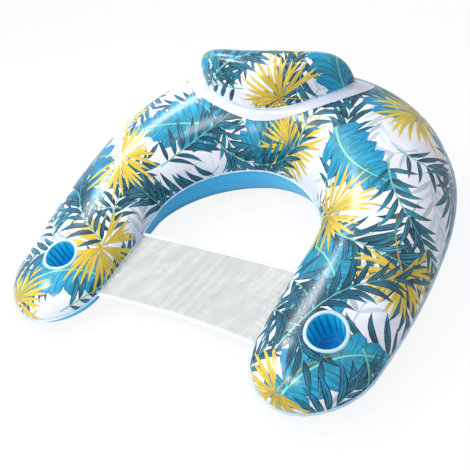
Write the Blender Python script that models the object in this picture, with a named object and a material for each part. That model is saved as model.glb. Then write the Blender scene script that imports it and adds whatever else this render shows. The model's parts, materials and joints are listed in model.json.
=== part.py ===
"""Inflatable pool chair: a U-shaped air chamber with a headrest, two cup holders, a net seat and two air valves.

Metres, +Z up, and the open front faces -Y. The pieces are laid out in the chair's own frame, whose weld seam is
level at the back. The empty named chair then tips that frame onto its underside, on the floor at Z = 0.
"""

import math
from dataclasses import dataclass

import bmesh
import bpy
from mathutils import Matrix, Vector
from mathutils.bvhtree import BVHTree

for old in list(bpy.data.objects):
    bpy.data.objects.remove(old, do_unlink=True)

# Gap between pieces that touch, a cutter's overrun past what it cuts, and the film that the chambers are made of
gap = 0.0003
overrun = 0.02
film = 0.0004

# Main chamber in plan, measured to its outer and inner weld seams from the middle of its back
outer_half_width = 0.584
outer_depth = 0.5985
outer_power = 2.49
inner_half_width = 0.2647
inner_depth = 0.2305
inner_power = 1.87
arm_length = 0.316
outer_draw_in = 0.030
inner_draw_in = 0.0045
tip_length = 0.162
tip_power = 1.91
lip_width = 0.006

# Height of a section as a share of its width, the rise of the arms' ends, and how far the underside is flattened
back_height_share = 1.076
tip_height_share = 0.5
back_run_share = 0.52
tip_rise = 0.038
settle = 0.004

# Seat net between the arms
seat_rear = 0.0977
seat_front = 0.3461
seat_rear_bow = 0.0195
seat_front_bow = 0.0394
seat_sag = 0.030
seat_pinch = 0.0074
pinch_reach_share = 0.55
net_thickness = 0.0006
tape_thickness = 0.0006
hem_width = 0.010
strip_width = 0.014

# Headrest, whose straight edge lies at the rear
pillow_half_length = 0.242
pillow_front_depth = 0.124
pillow_rear_depth = 0.020
pillow_height = 0.107
pillow_setback = 0.029
pillow_shift = -0.020
pillow_turn = math.radians(4)
pillow_front_power = 2.0
pillow_rear_power = 3.5
pillow_end_power = 8
pillow_depth_power = 2.25
pillow_lip = 0.004
pillow_clearance = 0.0014
margin_half_length = 0.298
margin_front_depth = 0.152
margin_rear_depth = 0.034

# Cup holders, both a little to the right of their arms' middles
cup_shift = 0.0225
cup_y = -0.292
cup_hole_radius = 0.044
cup_ring_radius = 0.053
cup_ring_thickness = 0.0012
cup_liner_radius = 0.0457
cup_floor_radius = 0.038
cup_depth = 0.088
cup_wall_thickness = 0.0006
cup_floor_thickness = 0.0010
pleat_depth = 0.0035
pleat_count = 16

# Air valves, each with its flange's outer face at the valve's own Z = 0
flange_radius = 0.018
flange_thickness = 0.0010
collar_radius = 0.0105
collar_height = 0.0030
neck_depth = 0.0030
stem_radius = 0.0080
stem_bore = 0.0033
stem_travel = 0.014
bead_radius = 0.0095
bead_height = 0.0015
tab_thickness = 0.0010
tab_width = 0.0050
tab_reach = 0.0126
plug_radius = 0.0085
plug_thickness = 0.0016
shank_end_radius = 0.0022
shank_depth = 0.0050
strap_thickness = 0.0010
flap_radius = 0.0062
flap_thickness = 0.0006
flap_reach = 0.0088
main_valve_turn_share = 0.42
main_valve_drop = math.radians(35)
pillow_valve_rise_share = 0.55
pillow_valve_place_share = -0.45

# Counts of sections, points and facets
back_steps = 24
arm_steps = 9
tip_steps = 6
rib_steps = 12
fine_factor = 4
pillow_columns = 24
pillow_bands = 10
margin_rows = 3
seat_columns = 16
seat_rows = 6
cup_facets = 48
turned_facets = 24
wall_level_shares = (0, 0.1, 0.35, 0.65, 0.9, 1)
pleat_swell_shares = (0, 0.35, 1, 1, 0.35, 0)

# Lengths that follow from the ones above
back_y = (outer_depth + inner_depth) / 2
seat_middle = -(seat_rear + seat_front) / 2
pinch_reach = (seat_front - seat_rear) * pinch_reach_share
pillow_y = back_y + pillow_setback
stem_top = collar_height + gap + tab_thickness
stem_foot = -(neck_depth + gap + stem_travel + bead_height)
shank_radius = stem_bore - gap
hinge_reach = tab_reach + gap / 2
flap_hinge_reach = flap_reach + gap / 2


@dataclass
class Section:
    """One cross-section of the main chamber: an upright ellipse about a centre in plan."""

    centre: Vector
    side: Vector
    half_width: float
    half_height: float

    @property
    def rise(self):
        return seam_rise(self.centre.y)

    def point(self, angle, lift=0):
        plan = self.centre + self.side * self.half_width * math.cos(angle)
        return Vector((*plan, self.rise + lift + self.half_height * math.sin(angle)))


def seam_rise(y):
    return tip_rise * ((back_y - y) / (back_y + arm_length)) ** 2


def back_point(angle, half_width, depth, power):
    across, along = math.cos(angle), math.sin(angle)
    x = math.copysign(abs(across) ** (2 / power) * half_width, across)
    return Vector((x, abs(along) ** (2 / power) * depth))


def outer_arm_point(side, share):
    return Vector((side * (outer_half_width - outer_draw_in * share**2), -arm_length * share))


def inner_arm_point(side, share):
    y = -arm_length * share
    pinch = seat_pinch * math.exp(-(((y - seat_middle) / pinch_reach) ** 4))
    return Vector((side * (inner_half_width - inner_draw_in * share**2 - pinch), y))


def section_between(outer, inner, share):
    """The section on two seam points; share is its place from the middle of the back to an arm's end."""
    half_width = (outer - inner).length / 2
    height_share = back_height_share + (tip_height_share - back_height_share) * share
    return Section((outer + inner) / 2, (outer - inner).normalized(), half_width, half_width * height_share)


def arm_section(side, share):
    run = back_run_share + (1 - back_run_share) * share
    return section_between(outer_arm_point(side, share), inner_arm_point(side, share), run)


def back_section(turn):
    """The section at a turn from -1, where the left arm starts, through 0 at the middle to 1 at the right arm."""
    angle = math.pi / 2 * (1 - turn)
    outer = back_point(angle, outer_half_width, outer_depth, outer_power)
    inner = back_point(angle, inner_half_width, inner_depth, inner_power)
    return section_between(outer, inner, back_run_share * abs(turn))


def tip_direction(end, before):
    return (end.centre - before.centre).normalized()


def tip_sections(end, before, steps):
    """The sections that round off an arm, from the arm towards its front."""
    found = []
    for i in range(1, steps):
        along = math.sin(math.pi / 2 * i / steps)
        size = (1 - along**tip_power) ** (1 / tip_power)
        centre = end.centre + tip_direction(end, before) * tip_length * along
        found.append(Section(centre, end.side, end.half_width * size, end.half_height * size))
    return found


def chamber_sections(factor=1):
    """All sections from the left tip round the back to the right tip, and the two end points in plan."""
    arm, back, tip = arm_steps * factor, back_steps * factor, tip_steps * factor
    middle = [arm_section(-1, i / arm) for i in range(arm, 0, -1)]
    middle += [back_section(2 * i / back - 1) for i in range(back + 1)]
    middle += [arm_section(1, i / arm) for i in range(1, arm + 1)]
    left = tip_sections(middle[0], middle[1], tip)[::-1]
    right = tip_sections(middle[-1], middle[-2], tip)
    ends = [
        middle[i].centre + tip_direction(middle[i], middle[j]) * tip_length for i, j in ((0, 1), (-1, -2))
    ]
    return left + middle + right, ends


def outward_offsets(loop, distance):
    """A closed loop of plan points, clockwise from above, moved outwards by a distance."""
    moved = []
    for i, point in enumerate(loop):
        along = (loop[(i + 1) % len(loop)] - loop[i - 1]).normalized()
        moved.append(point + Vector((-along.y, along.x)) * distance)
    return moved


def strip_faces(rows):
    """Quads between neighbouring rows of vertex numbers."""
    faces = []
    for row, following in zip(rows, rows[1:]):
        for j in range(len(row) - 1):
            faces.append((row[j], row[j + 1], following[j + 1], following[j]))
    return faces


def domed_sheet(rows, lip_rows, ends, lip_ends):
    """A sheet of point rows closed by one end point at either side, with a lip along its whole edge.

    Each row runs from its left edge to its right edge as seen along the rows, and the faces look up.
    """
    points, numbered = [], []
    for row, (first_lip, last_lip) in zip(rows, lip_rows):
        start = len(points)
        points += [first_lip, *row, last_lip]
        numbered.append(list(range(start, len(points))))
    first_end, last_end, first_end_lip, last_end_lip = range(len(points), len(points) + 4)
    points += [*ends, *lip_ends]
    faces = strip_faces(numbered)
    first, last = numbered[0], numbered[-1]
    for j in range(1, len(first) - 2):
        faces.append((first_end, first[j + 1], first[j]))
        faces.append((last[j], last[j + 1], last_end))
    faces.append((first_end_lip, first_end, first[1], first[0]))
    faces.append((first_end_lip, first[-1], first[-2], first_end))
    faces.append((last[0], last[1], last_end, last_end_lip))
    faces.append((last[-2], last[-1], last_end_lip, last_end))
    return points, faces


def raised(plan, z):
    return Vector((plan.x, plan.y, z))


def chamber_skin(up, factor=1):
    """Points and faces of the upper (up = 1) or lower (up = -1) film of the main chamber, with its weld lip."""
    sections, ends = chamber_sections(factor)
    lift = up * (gap / 2 + film)
    ribs = rib_steps * factor
    rows = [[s.point(up * math.pi * j / ribs, lift) for j in range(ribs + 1)] for s in sections]
    outer = [s.centre + s.side * s.half_width for s in sections]
    inner = [s.centre - s.side * s.half_width for s in sections]
    lips = outward_offsets([ends[0], *outer, ends[1], *inner[::-1]], lip_width)
    count = len(sections)
    first_end, outer_lips, last_end, inner_lips = lips[0], lips[1 : count + 1], lips[count + 1], lips[count + 2 :]
    lip_rows = [
        (raised(a, s.rise + lift), raised(b, s.rise + lift))
        for a, b, s in zip(outer_lips, inner_lips[::-1], sections)
    ]
    end_points = [raised(end, seam_rise(end.y) + lift) for end in ends]
    lip_ends = [raised(lip, seam_rise(end.y) + lift) for lip, end in zip((first_end, last_end), ends)]
    points, faces = domed_sheet(rows, lip_rows, end_points, lip_ends)
    if up < 0:
        faces = [face[::-1] for face in faces]
    return points, faces


def lower_hull(profile):
    """The lower convex outline of (y, z) points."""
    hull = []
    for point in sorted(profile):
        while len(hull) > 1:
            (ay, az), (by, bz) = hull[-2:]
            if (by - ay) * (point[1] - az) - (bz - az) * (point[0] - ay) > 0:
                break
            hull.pop()
        hull.append(point)
    return hull


def resting_tilt():
    """The turn about X that lays the underside flat on the floor below the chamber's middle."""
    sections, _ = chamber_sections()
    weight = sum(s.half_width * s.half_height for s in sections)
    balance = sum(s.half_width * s.half_height * s.centre.y for s in sections) / weight
    hull = lower_hull([(p.y, p.z) for p in chamber_skin(-1, fine_factor)[0]])
    for (ay, az), (by, bz) in zip(hull, hull[1:]):
        if ay <= balance <= by:
            return math.atan2(az - bz, by - ay)
    return 0


tilt = resting_tilt()
tipping = Matrix.Rotation(tilt, 3, "X")
righting = tipping.transposed()
floor_height = min((tipping @ p).z for p in chamber_skin(-1)[0]) + settle


def settled(point):
    """A point of the underside, pressed flat where it would be under the floor."""
    tipped = tipping @ point
    return righting @ Vector((tipped.x, tipped.y, max(tipped.z, floor_height)))


def height_on(surface, x, y):
    """The height of the highest face of a surface above a place in plan."""
    return surface.ray_cast(Vector((x, y, outer_half_width)), Vector((0, 0, -1)))[0].z


smooth_top = BVHTree.FromPolygons(*chamber_skin(1, fine_factor))


def material(name, colour, roughness, transmission=0):
    made = bpy.data.materials.new(name)
    made.use_nodes = True
    shader = made.node_tree.nodes["Principled BSDF"]
    shader.inputs["Base Color"].default_value = (*colour, 1)
    shader.inputs["Roughness"].default_value = roughness
    shader.inputs["Metallic"].default_value = 0
    shader.inputs["Transmission Weight"].default_value = transmission
    return made


printed_film = material("printed_film", (0.10, 0.42, 0.58), 0.18)
pale_blue_film = material("pale_blue_film", (0.25, 0.55, 0.80), 0.2)
white_film = material("white_film", (0.82, 0.83, 0.90), 0.25)
ring_film = material("ring_film", (0.72, 0.82, 0.88), 0.25)
deep_blue_film = material("deep_blue_film", (0.02, 0.18, 0.55), 0.25)
net_cloth = material("net_cloth", (0.66, 0.68, 0.68), 0.7)
tape_cloth = material("tape_cloth", (0.84, 0.84, 0.90), 0.6)
clear_plastic = material("clear_plastic", (0.80, 0.85, 0.88), 0.15, 0.4)

chair = bpy.data.objects.new("chair", None)
bpy.context.scene.collection.objects.link(chair)


def add_object(name, mesh, coating, parent=chair):
    made = bpy.data.objects.new(name, mesh)
    bpy.context.scene.collection.objects.link(made)
    made.parent = parent
    if coating:
        mesh.materials.append(coating)
    mesh.shade_smooth()
    mesh.set_sharp_from_angle(angle=math.radians(50))
    return made


def mesh_of(name, points, faces):
    mesh = bpy.data.meshes.new(name)
    mesh.from_pydata([tuple(p) for p in points], [], faces)
    mesh.update()
    return mesh


def thick_sheet(name, points, faces, thickness, coating, offset=-1, parent=chair):
    """A sheet thickened behind its faces, or evenly about them with an offset of 0."""
    made = add_object(name, mesh_of(name, points, faces), coating, parent)
    thicken = made.modifiers.new("Thickness", "SOLIDIFY")
    thicken.thickness = thickness
    thicken.offset = offset
    thicken.use_even_offset = True
    return made


def turned_mesh(name, profile, facets=turned_facets):
    """A closed solid of revolution about Z from a closed outline of (radius, z) corners."""
    bm = bmesh.new()
    corners = [bm.verts.new((r, 0, z)) for r, z in profile]
    edges = [bm.edges.new((a, b)) for a, b in zip(corners, corners[1:] + corners[:1])]
    bmesh.ops.spin(
        bm,
        geom=corners + edges,
        axis=(0, 0, 1),
        cent=(0, 0, 0),
        steps=facets,
        angle=math.tau,
        use_merge=True,
    )
    bmesh.ops.remove_doubles(bm, verts=bm.verts, dist=gap / 100)
    bmesh.ops.recalc_face_normals(bm, faces=bm.faces)
    mesh = bpy.data.meshes.new(name)
    bm.to_mesh(mesh)
    bm.free()
    return mesh


def box_mesh(name, low, high):
    bm = bmesh.new()
    bmesh.ops.create_cube(bm, size=1)
    middle = (Vector(low) + Vector(high)) / 2
    size = Vector(high) - Vector(low)
    bmesh.ops.transform(bm, matrix=Matrix.Translation(middle) @ Matrix.Diagonal((*size, 1)), verts=bm.verts)
    mesh = bpy.data.meshes.new(name)
    bm.to_mesh(mesh)
    bm.free()
    return mesh


def cylinder_mesh(name, radius, low, high, facets=turned_facets):
    return turned_mesh(name, [(0, low), (radius, low), (radius, high), (0, high)], facets)


def apply_tool(target, name, mesh, operation, parent):
    """Cuts a helper's shape from a target, or adds it."""
    tool = add_object(name, mesh, None, parent)
    tool.hide_render = True
    tool.display_type = "WIRE"
    boolean = target.modifiers.new(name, "BOOLEAN")
    boolean.operation = operation
    boolean.solver = "EXACT"
    boolean.object = tool
    return tool


def make_chamber():
    points, faces = chamber_skin(1)
    top = thick_sheet("ring_top_skin", points, faces, film, printed_film)
    points, faces = chamber_skin(-1)
    bottom = thick_sheet("ring_bottom_skin", [settled(p) for p in points], faces, film, pale_blue_film)
    return top, bottom


def closed_band(name, loops, thickness, coating):
    """A thick band through closed loops of points of equal number, facing away from its first loop's middle."""
    count = len(loops[0])
    points = [p for loop in loops for p in loop]
    rows = [[k * count + i % count for i in range(count + 1)] for k in range(len(loops))]
    return thick_sheet(name, points, strip_faces(rows), thickness, coating)


def cup_centre(side):
    share = -cup_y / arm_length
    middle = (outer_arm_point(side, share) + inner_arm_point(side, share)) / 2
    return middle + Vector((cup_shift, 0))


def circle_points(side, radius, facets):
    centre = cup_centre(side)
    turns = [math.tau * i / facets for i in range(facets)]
    return [centre + Vector((math.cos(a), math.sin(a))) * radius for a in turns]


def make_cup(side, label, skin):
    """The weld ring set into the arm, the pleated liner that hangs from it and the liner's round floor."""
    centre = cup_centre(side)
    top = height_on(smooth_top, *centre)
    hole = cylinder_mesh(f"cup_cutter_{label}", cup_ring_radius + gap, -overrun, overrun, cup_facets)
    cutter = apply_tool(skin, f"cup_cutter_{label}", hole, "DIFFERENCE", chair)
    cutter.location = (*centre, top)

    def on_skin(plan, depth=0):
        return raised(plan, height_on(smooth_top, plan.x, plan.y) - depth)

    inner = [on_skin(p) for p in circle_points(side, cup_hole_radius, cup_facets)]
    outer = [on_skin(p) for p in circle_points(side, cup_ring_radius, cup_facets)]
    closed_band(f"cup_ring_{label}", [outer, inner], cup_ring_thickness, ring_film)

    floor_top = top - cup_depth
    hang = cup_ring_thickness + gap
    rims = [on_skin(p, hang) for p in circle_points(side, cup_liner_radius, cup_facets)]
    loops = []
    for level, swell in zip(wall_level_shares, pleat_swell_shares):
        loop = []
        for i, rim in enumerate(rims):
            turn = math.tau * i / cup_facets
            fold = pleat_depth * swell * (1 - math.cos(pleat_count * turn)) / 2
            radius = cup_liner_radius + (cup_floor_radius - cup_liner_radius) * level - fold
            plan = centre + Vector((math.cos(turn), math.sin(turn))) * radius
            loop.append(raised(plan, rim.z + (floor_top - rim.z) * level))
        loops.append(loop)
    closed_band(f"cup_wall_{label}", loops[::-1], cup_wall_thickness, deep_blue_film)

    low = -cup_floor_thickness
    disc = cylinder_mesh(f"cup_floor_{label}", cup_floor_radius, low, 0, cup_facets)
    floor = add_object(f"cup_floor_{label}", disc, deep_blue_film)
    floor.location = (*centre, floor_top - gap)


def net_edge(side, y):
    """Where the net starts, just inside the inner weld lip."""
    return inner_arm_point(side, -y / arm_length).x - side * (lip_width + gap)


def net_point(across, along, lift=0):
    """A point of the net: across runs from the left edge, 0, to the right, 1, and along from rear to front."""
    y = -(seat_rear + (seat_front - seat_rear) * along)
    left, right = net_edge(-1, y), net_edge(1, y)
    swell = 4 * across * (1 - across)
    bow = seat_rear_bow + (seat_front_bow - seat_rear_bow) * along
    x = left + (right - left) * across
    return Vector((x, y + swell * bow, seam_rise(y) - swell * seat_sag + lift))


def number_rows(rows):
    width = len(rows[0])
    return [[i * width + j for j in range(width)] for i in range(len(rows))]


def grid_sheet(name, rows, thickness, coating, offset=-1):
    points = [p for row in rows for p in row]
    return thick_sheet(name, points, strip_faces(number_rows(rows)), thickness, coating, offset)


def make_seat():
    rows = [
        [net_point(i / seat_columns, 1 - j / seat_rows) for i in range(seat_columns + 1)]
        for j in range(seat_rows + 1)
    ]
    grid_sheet("seat_mesh", rows, net_thickness, net_cloth, offset=0)
    make_hem("seat_rear_hem", 0, 1)
    make_hem("seat_front_hem", 1, -1)
    make_strip("seat_strip_left", -1)
    make_strip("seat_strip_right", 1)


def make_hem(name, along, outward):
    """A tape folded round one free edge of the net, clear of both its faces."""
    reach = net_thickness / 2 + gap + tape_thickness / 2
    fold = gap + tape_thickness / 2
    outline = [(-hem_width, reach), (0, reach), (fold, 0), (0, -reach), (-hem_width, -reach)]
    rows = []
    for out, up in outline[::outward]:
        row = []
        for i in range(seat_columns + 1):
            edge = net_point(i / seat_columns, along)
            behind = net_point(i / seat_columns, abs(along - hem_width / (seat_front - seat_rear)))
            inwards = (behind - edge) * (max(-out, 0) / (behind - edge).length)
            row.append(edge + inwards + Vector((0, outward * max(out, 0), up)))
        rows.append(row)
    grid_sheet(name, rows, tape_thickness, tape_cloth, offset=0)


def make_strip(name, side):
    """The strip that laps the inner weld lip and the edge of the net, between the two hems."""
    inset = (hem_width + gap * 2) / (seat_front - seat_rear)
    lip_top = gap / 2 + film + gap + tape_thickness / 2
    net_top = net_thickness / 2 + gap + tape_thickness / 2
    rows = []
    for i in range(seat_columns // 2 + 1):
        along = inset + (1 - 2 * inset) * i / (seat_columns // 2)
        y = -(seat_rear + (seat_front - seat_rear) * along)
        edge = net_edge(side, y)
        share = strip_width / (net_edge(1, y) - net_edge(-1, y))
        wall_side = Vector((edge + side * lip_width, y, seam_rise(y) + lip_top))
        lip_side = Vector((edge, y, seam_rise(y) + lip_top))
        net_side = net_point(share if side < 0 else 1 - share, along, net_top)
        rows.append([wall_side, lip_side, net_side])
    grid_sheet(name, rows, tape_thickness, tape_cloth, offset=0)


def pillow_place(x, y):
    """Plan place of a headrest point, from its own axes, which lie a little askew on the chamber."""
    turned = Matrix.Rotation(pillow_turn, 2) @ Vector((x, y))
    return turned + Vector((pillow_shift, pillow_y))


def pillow_edge(share, depth, power):
    return depth * (1 - min(abs(share), 1) ** power) ** (1 / power)


def pillow_shares():
    return [math.sin(math.pi * (i / pillow_columns - 1 / 2)) for i in range(1, pillow_columns)]


def pillow_loop(half_length, front_depth, rear_depth):
    """The headrest's outline in plan, clockwise from above, starting at its left end."""
    shares = pillow_shares()
    rear = [(s * half_length, pillow_edge(s, rear_depth, pillow_rear_power)) for s in shares]
    front = [(s * half_length, -pillow_edge(s, front_depth, pillow_front_power)) for s in shares]
    loop = [(-half_length, 0), *rear, (half_length, 0), *front[::-1]]
    return [pillow_place(x, y) for x, y in loop]


def pillow_plan():
    """Plan rows of the headrest from its left end to its right end, each from rear to front, with their swell."""
    rows = []
    for share in pillow_shares():
        front = -pillow_edge(share, pillow_front_depth, pillow_front_power)
        rear = pillow_edge(share, pillow_rear_depth, pillow_rear_power)
        row = []
        for j in range(pillow_bands + 1):
            across = math.sin(math.pi * (1 / 2 - j / pillow_bands))
            place = pillow_place(share * pillow_half_length, (front + rear) / 2 + (rear - front) / 2 * across)
            ends = 1 - abs(share) ** pillow_end_power
            sides = 1 - min(abs(across), 1) ** pillow_depth_power
            row.append((place, math.sqrt(max(ends * sides, 0))))
        rows.append(row)
    return rows


def over_chamber(plan, lift):
    return raised(plan, height_on(smooth_top, plan.x, plan.y) + lift)


def pillow_skin(lift, swell_height):
    """Points and faces of one film of the headrest: lift is its height over the chamber at its edge."""
    loop = pillow_loop(pillow_half_length, pillow_front_depth, pillow_rear_depth)
    lips = [over_chamber(p, lift) for p in outward_offsets(loop, pillow_lip)]
    rows = [[over_chamber(p, lift + swell_height * swell) for p, swell in row] for row in pillow_plan()]
    count = len(rows)
    lip_rows = list(zip(lips[1 : count + 1], lips[count + 2 :][::-1]))
    ends = [over_chamber(loop[i], lift) for i in (0, count + 1)]
    return domed_sheet(rows, lip_rows, ends, [lips[0], lips[count + 1]])


def make_pillow():
    points, faces = pillow_skin(pillow_clearance, 0)
    thick_sheet("pillow_bottom_skin", points, [face[::-1] for face in faces], film, pale_blue_film)
    points, faces = pillow_skin(pillow_clearance + 2 * film + gap, pillow_height)
    top = thick_sheet("pillow_top_skin", points, faces, film, printed_film)

    edge = pillow_loop(pillow_half_length, pillow_front_depth, pillow_rear_depth)
    inner = outward_offsets(edge, pillow_lip + 2 * gap)
    outer = pillow_loop(margin_half_length, margin_front_depth, margin_rear_depth)
    loops = []
    for k in range(margin_rows + 1):
        share = k / margin_rows
        loops.append([over_chamber(a.lerp(b, share), pillow_clearance + film) for a, b in zip(inner, outer)])
    closed_band("pillow_margin", loops[::-1], film, white_film)
    return top


def make_valve(label, skin, foot, direction):
    """One air valve, set square into a film where a line from foot meets it."""
    points, faces = skin
    seat, normal, _, _ = BVHTree.FromPolygons(points, faces).ray_cast(foot, direction)
    upward = (Vector((0, 0, 1)) - normal * normal.z).normalized()
    axes = Matrix((upward.cross(normal), upward, normal)).transposed()
    frame = bpy.data.objects.new(f"{label}_valve", None)
    bpy.context.scene.collection.objects.link(frame)
    frame.parent = chair
    frame.matrix_local = Matrix.Translation(seat) @ axes.to_4x4()

    bore = stem_radius + gap
    flange = [
        (bore, -neck_depth),
        (collar_radius, -neck_depth),
        (collar_radius, -flange_thickness),
        (flange_radius, -flange_thickness),
        (flange_radius, 0),
        (collar_radius, 0),
        (collar_radius, collar_height),
        (bore, collar_height),
    ]
    add_object(f"{label}_valve_flange", turned_mesh(f"{label}_valve_flange", flange), clear_plastic, frame)

    stem_profile = [
        (stem_bore, stem_foot),
        (bead_radius, stem_foot),
        (bead_radius, stem_foot + bead_height),
        (stem_radius, stem_foot + bead_height),
        (stem_radius, stem_top),
        (stem_bore, stem_top),
    ]
    name = f"{label}_valve_stem"
    stem = add_object(name, turned_mesh(name, stem_profile), clear_plastic, frame)
    tab_start = (stem_bore + stem_radius) / 2
    low = (-tab_width / 2, tab_start, stem_top - tab_thickness)
    tab = box_mesh(f"{name}_tab", low, (tab_width / 2, tab_reach, stem_top))
    apply_tool(stem, f"{name}_tab", tab, "UNION", frame)

    hinge = Vector((0, hinge_reach, stem_top + gap / 2))
    base = gap / 2
    plug_profile = [
        (0, base - shank_depth),
        (shank_end_radius, base - shank_depth),
        (shank_radius, base),
        (plug_radius, base),
        (plug_radius, base + plug_thickness),
        (0, base + plug_thickness),
    ]
    name = f"{label}_valve_plug"
    mesh = turned_mesh(name, plug_profile)
    mesh.transform(Matrix.Translation((0, -hinge_reach, 0)))
    plug = add_object(name, mesh, clear_plastic, stem)
    plug.location = hinge
    low = (-tab_width / 2, shank_radius - hinge_reach, base)
    strap = box_mesh(f"{name}_strap", low, (tab_width / 2, tab_reach - hinge_reach, base + strap_thickness))
    apply_tool(plug, f"{name}_strap", strap, "UNION", plug)

    name = f"{label}_valve_flap"
    mesh = cylinder_mesh(name, flap_radius, -gap / 2 - flap_thickness, -gap / 2)
    mesh.transform(Matrix.Translation((0, -flap_hinge_reach, 0)))
    flap = add_object(name, mesh, clear_plastic, stem)
    flap.location = (0, flap_hinge_reach, stem_foot - gap / 2)
    low = (-tab_width / 2, -flap_hinge_reach, -gap / 2 - flap_thickness)
    strap = box_mesh(f"{name}_strap", low, (tab_width / 2, flap_reach - flap_hinge_reach, -gap / 2))
    apply_tool(flap, f"{name}_strap", strap, "UNION", flap)
    return frame


def cut_for_valve(skin, label, frame):
    hole = cylinder_mesh(f"{label}_valve_cutter", flange_radius + gap, -overrun, overrun)
    apply_tool(skin, f"{label}_valve_cutter", hole, "DIFFERENCE", frame)


def make_main_valve(bottom):
    section = back_section(main_valve_turn_share)
    aim = section.side * math.cos(main_valve_drop)
    direction = Vector((aim.x, aim.y, -math.sin(main_valve_drop)))
    frame = make_valve("main", chamber_skin(-1), raised(section.centre, 0), direction)
    cut_for_valve(bottom, "main", frame)


def make_pillow_valve(top):
    place = pillow_place(pillow_half_length * pillow_valve_place_share, 0)
    foot = over_chamber(place, pillow_height * pillow_valve_rise_share)
    lift = pillow_clearance + 2 * film + gap
    frame = make_valve("pillow", pillow_skin(lift, pillow_height), foot, Vector((0, 1, 0)))
    cut_for_valve(top, "pillow", frame)


def stand_on_floor():
    """Tips the chair's frame onto its underside, and centres its box over the origin."""
    points = [tipping @ p for up in (1, -1) for p in chamber_skin(up)[0]]
    middle_x = (min(p.x for p in points) + max(p.x for p in points)) / 2
    middle_y = (min(p.y for p in points) + max(p.y for p in points)) / 2
    chair.rotation_euler = (tilt, 0, 0)
    chair.location = (-middle_x, -middle_y, -floor_height)


chamber_top, chamber_bottom = make_chamber()
make_cup(-1, "left", chamber_top)
make_cup(1, "right", chamber_top)
make_seat()
pillow_top = make_pillow()
make_main_valve(chamber_bottom)
make_pillow_valve(pillow_top)
stand_on_floor()
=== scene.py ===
"""Looks of the inflatable pool chair: printed film, weld lips, headrest, cup liners, net seat and valves.

It rebuilds the chair's surfaces finely from the same sizes as the solids, in the chair's own frame, and then
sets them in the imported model's frame. Metres, +Z up.
"""

import json
import math
import random

import bpy
import numpy as np
from mathutils import Matrix, Vector
from mathutils.geometry import delaunay_2d_cdt

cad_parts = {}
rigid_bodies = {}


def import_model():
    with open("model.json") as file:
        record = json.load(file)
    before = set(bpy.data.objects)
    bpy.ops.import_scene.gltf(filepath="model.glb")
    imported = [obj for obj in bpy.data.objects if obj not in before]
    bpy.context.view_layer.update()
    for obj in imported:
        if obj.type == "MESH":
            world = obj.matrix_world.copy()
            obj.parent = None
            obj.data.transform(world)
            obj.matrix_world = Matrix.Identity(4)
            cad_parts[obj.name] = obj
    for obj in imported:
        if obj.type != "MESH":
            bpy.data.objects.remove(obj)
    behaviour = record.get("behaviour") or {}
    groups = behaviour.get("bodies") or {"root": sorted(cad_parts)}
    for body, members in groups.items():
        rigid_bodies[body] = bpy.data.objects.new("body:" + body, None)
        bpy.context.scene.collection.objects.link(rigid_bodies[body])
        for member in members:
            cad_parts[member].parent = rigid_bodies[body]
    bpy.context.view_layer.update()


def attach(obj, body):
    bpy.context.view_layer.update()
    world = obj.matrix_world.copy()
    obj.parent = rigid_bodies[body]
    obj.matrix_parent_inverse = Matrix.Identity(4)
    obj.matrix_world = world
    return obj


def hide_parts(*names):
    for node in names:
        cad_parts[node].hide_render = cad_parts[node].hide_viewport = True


for old in list(bpy.data.objects):
    bpy.data.objects.remove(old, do_unlink=True)
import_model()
chance = random.Random(7)

# Sizes of the main chamber and the seat, as in the solids apart from the front hem's bow
outer_half_width, outer_depth, outer_power = 0.584, 0.5985, 2.49
inner_half_width, inner_depth, inner_power = 0.2647, 0.2305, 1.87
arm_length, outer_draw_in, inner_draw_in = 0.316, 0.030, 0.0045
tip_length, tip_power, lip_width = 0.162, 1.91, 0.006
back_height_share, tip_height_share, back_run_share = 1.076, 0.5, 0.52
tip_rise, weld_lift = 0.038, 0.00055
seat_rear, seat_front, seat_pinch = 0.0977, 0.3461, 0.0074
seat_rear_bow, seat_front_bow, seat_sag = 0.0195, 0.0250, 0.030
back_y = (outer_depth + inner_depth) / 2
seat_middle = -(seat_rear + seat_front) / 2
pinch_reach = (seat_front - seat_rear) * 0.55

# Headrest, cup holders and valves, as in the solids
pillow_half_length, pillow_depths, pillow_height, pillow_lift = 0.242, (0.124, 0.020), 0.107, 0.0025
pillow_y, pillow_shift, pillow_turn = back_y + 0.029, -0.020, math.radians(4)
pillow_edge_powers, pillow_end_power, pillow_depth_power = (2.0, 3.5), 8, 2.25
margin_half_length, margin_depths = 0.298, (0.152, 0.034)
cup_shift, cup_y, cup_hole_radius, cup_ring_radius = 0.0225, -0.292, 0.044, 0.053
cup_liner_radius, cup_floor_radius, cup_depth, pleat_count = 0.0457, 0.038, 0.088, 16
flange_radius, tab_reach, tab_width = 0.018, 0.0126, 0.0050
bend_height, bend_radius = 0.00445, 0.00068
valves = ("main", "pillow")

# Lengths of the fine detail: folds along the welds, the net's threads and the tape's ribs
fold_spacing, lip_wave, thread_spacing, rib_spacing = 0.031, 0.034, 0.0022, 0.0016

# The chair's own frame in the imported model's frame: its tilt about X and its shift
chair_tilt = math.radians(12.731972)
chair_shift = np.array((0.0, -0.052813, 0.108353))
tipping = np.array(Matrix.Rotation(chair_tilt, 3, "X"))
mirror = np.array((-1, 1))


def to_world(points):
    return np.asarray(points) @ tipping.T + chair_shift


def to_chair(points):
    return (points - chair_shift) @ tipping


def unit(vectors):
    return vectors / np.maximum(np.linalg.norm(vectors, axis=-1, keepdims=True), 1e-12)


def cross(a, b):
    """The Z part of the cross product of plan vectors."""
    return a[..., 0] * b[..., 1] - a[..., 1] * b[..., 0]


def path_runs(points):
    """The length of a line of points up to each of them."""
    return np.concatenate(([0], np.cumsum(np.linalg.norm(np.diff(points, axis=0), axis=1))))


def eased(count):
    """Numbers from -1 to 1, closer together towards both ends."""
    return np.sin(np.linspace(-math.pi / 2, math.pi / 2, count))


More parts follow.
